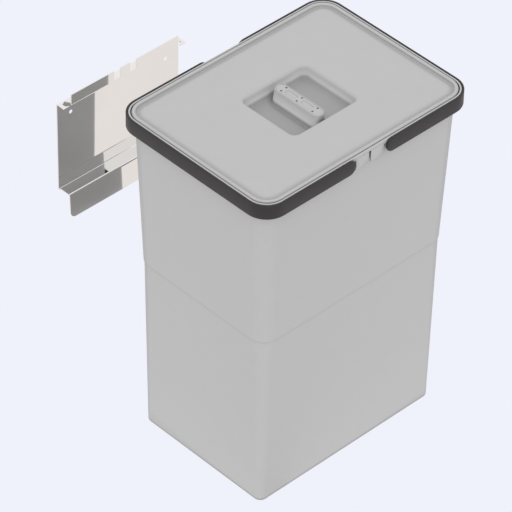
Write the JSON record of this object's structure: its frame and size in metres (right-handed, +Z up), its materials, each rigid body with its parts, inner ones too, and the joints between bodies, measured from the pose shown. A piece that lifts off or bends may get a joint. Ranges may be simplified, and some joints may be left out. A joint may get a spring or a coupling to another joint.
{
  "type": "door-mounted waste bin",
  "caption": "Tapered waste bin with a stepped bucket, lift-off lid, swinging bail handles and the folded steel bracket it hangs from on a cabinet door.",
  "frame": {"origin": "middle of the bucket base, on the floor the bin stands on", "axes": "+X along the long side of the bin, +Y towards the door and its bracket, +Z up"},
  "size_m": [0.284, 0.3687, 0.408],
  "materials": {
    "bin_plastic": "moulded light grey polypropylene, fine matt texture",
    "handle_plastic": "moulded anthracite polypropylene, fine matt texture",
    "bracket_steel": "polished stainless steel sheet"
  },
  "bodies": {
    "bin": {"bucket": "bin_plastic", "front_left_pin": "handle_plastic", "front_right_pin": "handle_plastic", "rear_left_pin": "handle_plastic", "rear_right_pin": "handle_plastic"},
    "lid_body": {"lid": "bin_plastic", "lid_grip": "bin_plastic", "grip_inlay": "bin_plastic"},
    "left_bail": {"left_handle": "handle_plastic"},
    "right_bail": {"right_handle": "handle_plastic"},
    "bracket_body": {"door_bracket": "bracket_steel"}
  },
  "joints": [
    {"name": "bracket_path", "type": "slide", "parent": "bin", "child": "bracket_body", "axis": [0, -0.8779, 0.4789], "range_m": [0, 0.17121]},
    {"name": "lid_lift", "type": "slide", "parent": "bin", "child": "lid_body", "axis": [0, 0, 1], "range_m": [0, 0.085]},
    {"name": "left_handle_swing", "type": "hinge", "parent": "bin", "child": "left_bail", "pos_m": [-0.0295, 0, 0.3987], "axis": [0, 1, 0], "range_deg": [0, 95]},
    {"name": "right_handle_swing", "type": "hinge", "parent": "bin", "child": "right_bail", "pos_m": [0.0295, 0, 0.3987], "axis": [0, -1, 0], "range_deg": [0, 95]}
  ]
}
